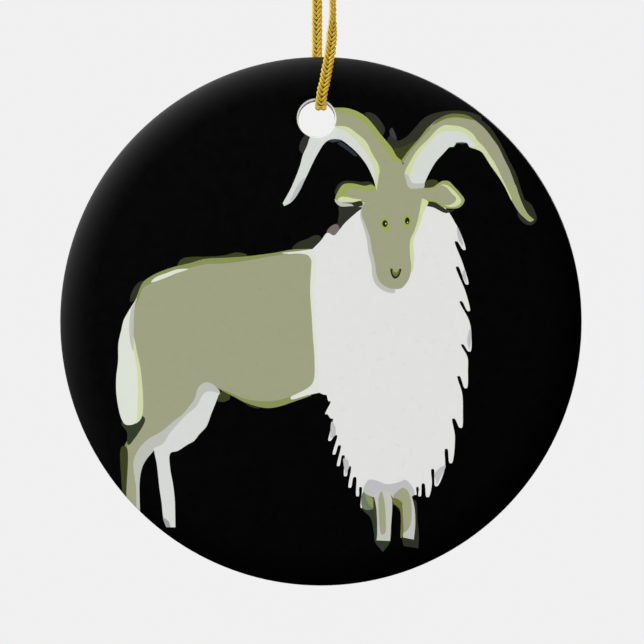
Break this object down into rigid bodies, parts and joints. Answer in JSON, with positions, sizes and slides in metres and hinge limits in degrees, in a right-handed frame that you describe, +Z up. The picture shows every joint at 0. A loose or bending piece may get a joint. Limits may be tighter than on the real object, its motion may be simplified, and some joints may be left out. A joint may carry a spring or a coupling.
{
  "type": "hanging disc ornament",
  "caption": "Round glazed ceramic ornament with a goat picture printed on its front, hung by a knotted loop of gold braided cord through a hole near the rim.",
  "frame": {"origin": "hang point: the crotch of the cord loop, just under its knot, where a hook holds it", "axes": "+Z up, -Y out of the printed front face, +X to the right as the face is looked at"},
  "size_m": [0.0728, 0.0066, 0.1037],
  "materials": {
    "white_glaze": "glossy white glaze",
    "printed_ink": "satin-gloss printed ink, black ground",
    "gold_braid": "braided metallic gold yarn"
  },
  "bodies": {
    "hanger": {"cord_knot": "gold_braid", "cord_front_tail": "gold_braid", "cord_back_tail": "gold_braid"},
    "strands": {"cord_front_strand": "gold_braid", "cord_back_strand": "gold_braid"},
    "bight": {"cord_bight": "gold_braid"},
    "ornament": {"ceramic_disc": "white_glaze", "printed_film": "printed_ink"}
  },
  "joints": [
    {"name": "cord_twist", "type": "hinge", "parent": "hanger", "child": "strands", "pos_m": [0, 0, 0], "axis": [0, 0, 1], "range_deg": [-180, 180], "stiffness_Nm_per_rad": 0.00011, "deforming": ["cord_front_strand", "cord_back_strand"]},
    {"name": "disc_tilt", "type": "hinge", "parent": "strands", "child": "bight", "pos_m": [0, 0, -0.02433], "axis": [1, 0, 0], "range_deg": [-30, 30], "deforming": ["cord_front_strand", "cord_back_strand"]},
    {"name": "disc_swing", "type": "hinge", "parent": "bight", "child": "ornament", "pos_m": [0, 0, -0.02433], "axis": [0, 1, 0], "range_deg": [-45, 45]}
  ]
}
